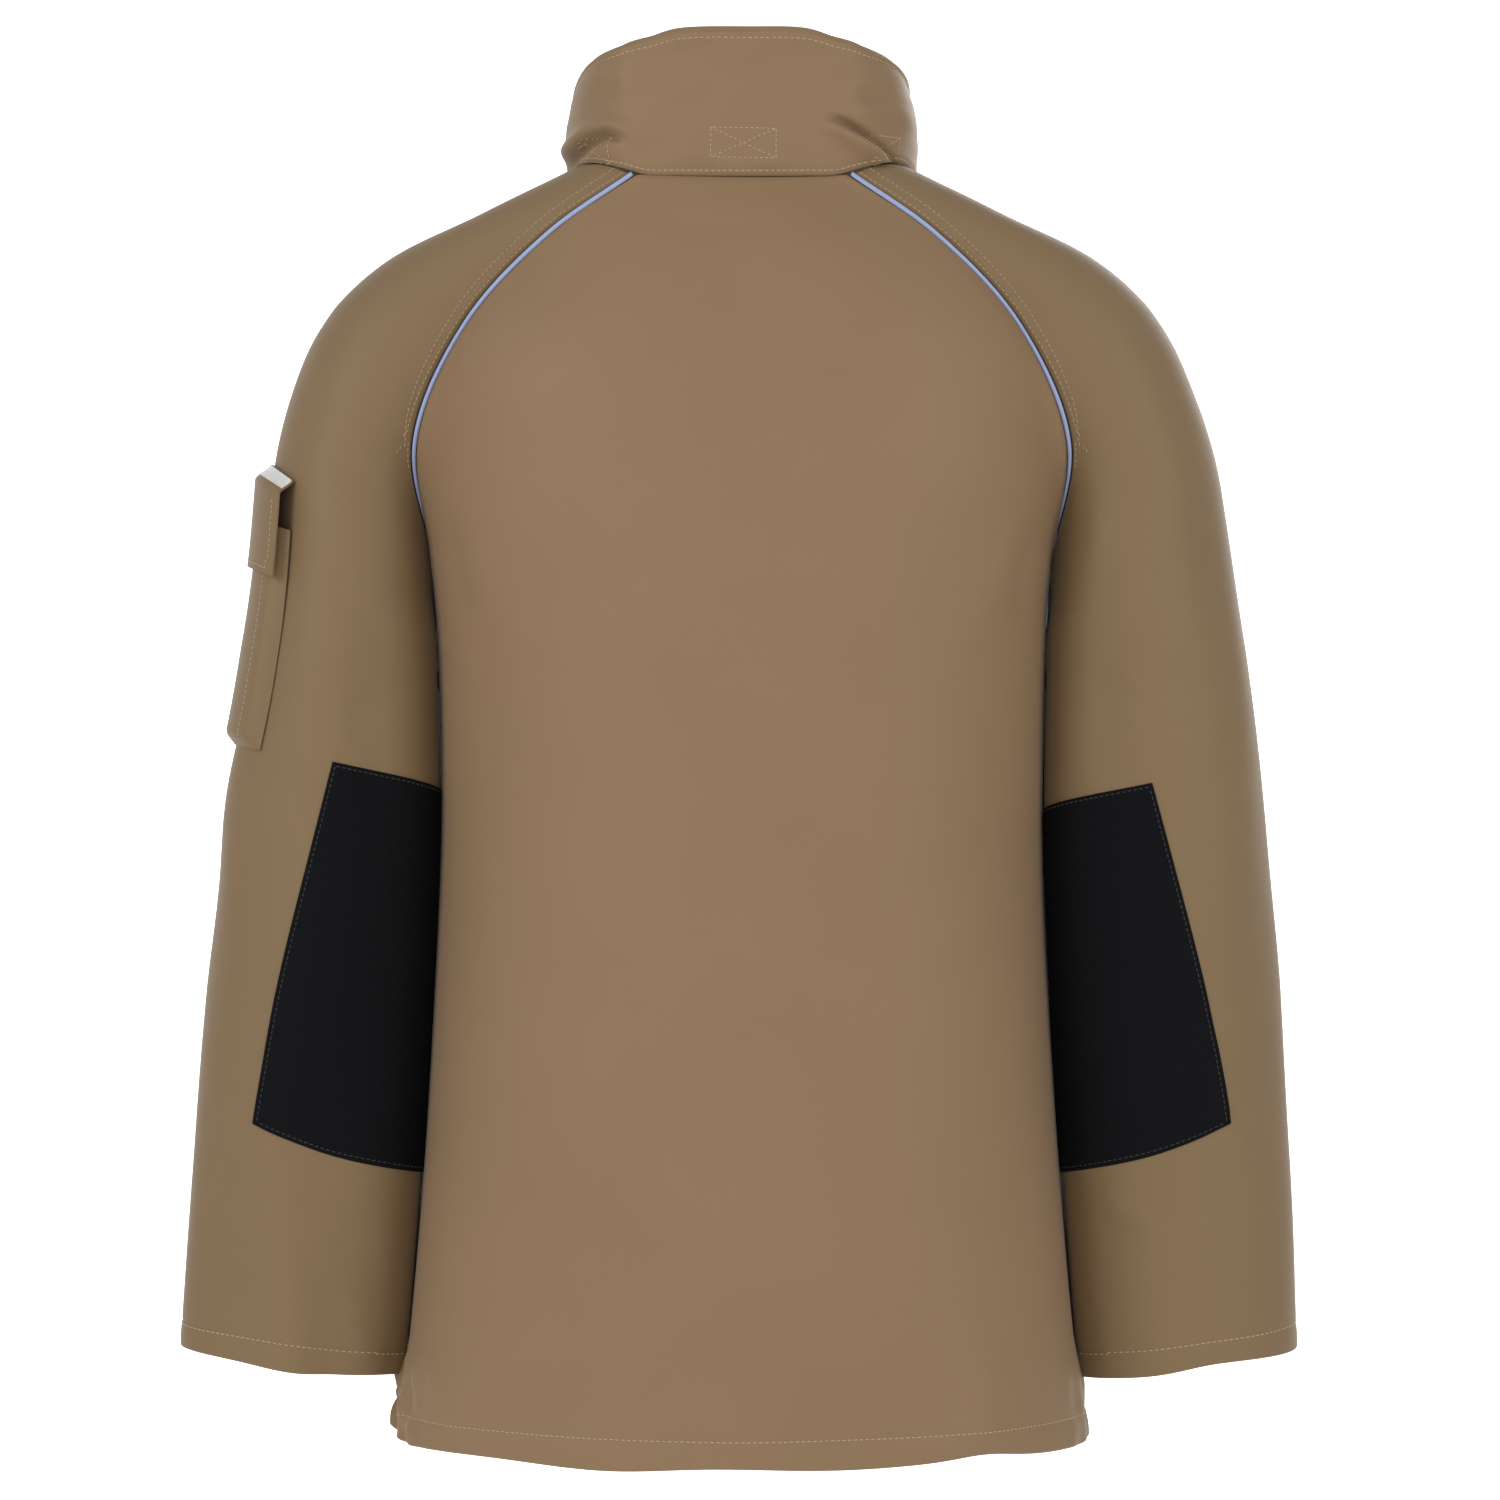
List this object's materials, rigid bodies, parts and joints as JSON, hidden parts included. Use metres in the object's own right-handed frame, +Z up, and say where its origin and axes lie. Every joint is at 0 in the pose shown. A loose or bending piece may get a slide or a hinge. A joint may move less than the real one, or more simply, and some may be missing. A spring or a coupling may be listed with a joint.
{
  "type": "beekeeping jacket",
  "caption": "Long-sleeved zipped work jacket with raglan sleeves, contrast piping, dark elbow patches, a padded stand collar with pads for a veil, and a flapped sleeve pocket.",
  "frame": {"origin": "the middle of the neck opening, level with the collar seam, where the wearer's neck or a hanger carries the jacket", "axes": "+Z up, -Y the front with the zip, +X the wearer's left"},
  "size_m": [0.697, 0.3064, 0.8612],
  "materials": {
    "khaki_cloth": "smooth dense twill with a faint satin sheen",
    "patch_cloth": "coarse near-black abrasion-resistant weave",
    "piping_cloth": "pale blue-grey corded piping",
    "lining_cloth": "plain lining cloth",
    "wadding": "soft polyester wadding",
    "grip_tape": "hook-and-loop tape",
    "reflective_tape": "pale reflective tape",
    "elastic": "ribbed elastic",
    "zip_tape": "woven zip tape",
    "zip_metal": "dull plated metal"
  },
  "bodies": {
    "torso": {"back_panel": "khaki_cloth", "front_panel_left": "khaki_cloth", "front_panel_right": "khaki_cloth", "raglan_shoulder_left": "khaki_cloth", "raglan_shoulder_right": "khaki_cloth", "piping_back_left": "piping_cloth", "piping_back_right": "piping_cloth", "piping_front_left": "piping_cloth", "piping_front_right": "piping_cloth", "collar_outer": "khaki_cloth", "collar_padding": "wadding", "collar_inner": "lining_cloth", "veil_pad_back": "grip_tape", "veil_pad_left": "grip_tape", "veil_pad_right": "grip_tape", "hanging_loop": "lining_cloth", "hip_pocket_left": "khaki_cloth", "hip_pocket_right": "khaki_cloth", "hem_facing": "khaki_cloth", "hem_elastic_left": "elastic", "hem_elastic_right": "elastic", "zip_chain_left": "zip_metal", "zip_chain_right": "zip_metal", "zip_tape_left": "zip_tape", "zip_tape_right": "zip_tape", "zip_bottom_stop": "zip_metal"},
    "upper_arm_left": {"upper_sleeve_left": "khaki_cloth", "sleeve_pocket": "khaki_cloth", "sleeve_pocket_loop_tape": "grip_tape"},
    "upper_arm_right": {"upper_sleeve_right": "khaki_cloth"},
    "sleeve_flap": {"sleeve_pocket_flap": "khaki_cloth", "sleeve_pocket_hook_tape": "grip_tape", "sleeve_pocket_reflective_strip": "reflective_tape"},
    "slider": {"zip_slider": "zip_metal"},
    "puller": {"zip_puller": "zip_metal"},
    "front_flap": {"storm_flap": "khaki_cloth"},
    "hip_flap_left": {"hip_pocket_flap_left": "khaki_cloth"},
    "hip_flap_right": {"hip_pocket_flap_right": "khaki_cloth"},
    "forearm_left": {"lower_sleeve_left": "khaki_cloth", "cuff_facing_left": "khaki_cloth", "wrist_cuff_left": "elastic", "elbow_patch_left": "patch_cloth"},
    "forearm_right": {"lower_sleeve_right": "khaki_cloth", "cuff_facing_right": "khaki_cloth", "wrist_cuff_right": "elastic", "elbow_patch_right": "patch_cloth"}
  },
  "joints": [
    {"name": "left_shoulder_swing", "type": "hinge", "parent": "torso", "child": "upper_arm_left", "pos_m": [0.2918, 0, -0.1353], "axis": [0, -1, 0], "range_deg": [0, 70]},
    {"name": "left_elbow_bend", "type": "hinge", "parent": "upper_arm_left", "child": "forearm_left", "pos_m": [0.2613, -0.0768, -0.445], "axis": [-0.994, 0, -0.109], "range_deg": [0, 90]},
    {"name": "hip_flap_swing_left", "type": "hinge", "parent": "torso", "child": "hip_flap_left", "pos_m": [0.14924, -0.10896, -0.509], "axis": [-0.9083, -0.4184, 0], "range_deg": [0, 150]},
    {"name": "right_shoulder_swing", "type": "hinge", "parent": "torso", "child": "upper_arm_right", "pos_m": [-0.2918, 0, -0.1353], "axis": [0, 1, 0], "range_deg": [0, 70]},
    {"name": "right_elbow_bend", "type": "hinge", "parent": "upper_arm_right", "child": "forearm_right", "pos_m": [-0.2613, -0.0768, -0.445], "axis": [-0.994, 0, 0.109], "range_deg": [0, 90]},
    {"name": "hip_flap_swing_right", "type": "hinge", "parent": "torso", "child": "hip_flap_right", "pos_m": [-0.14924, -0.10896, -0.509], "axis": [-0.9083, 0.4184, 0], "range_deg": [0, 150]},
    {"name": "sleeve_flap_swing", "type": "hinge", "parent": "upper_arm_left", "child": "sleeve_flap", "pos_m": [0.3089, 0, -0.1463], "axis": [0, -1, 0], "range_deg": [0, 110]},
    {"name": "zip_slide", "type": "slide", "parent": "torso", "child": "slider", "axis": [0, -0.077, -0.997], "range_m": [0, 0.757]},
    {"name": "puller_swing", "type": "hinge", "parent": "slider", "child": "puller", "pos_m": [0, -0.09032, 0.04012], "axis": [-1, 0, 0], "range_deg": [0, 150]},
    {"name": "storm_flap_swing", "type": "hinge", "parent": "torso", "child": "front_flap", "pos_m": [0.0249, -0.12939, -0.39553], "axis": [0, 0.077, 0.997], "range_deg": [0, 100]}
  ]
}
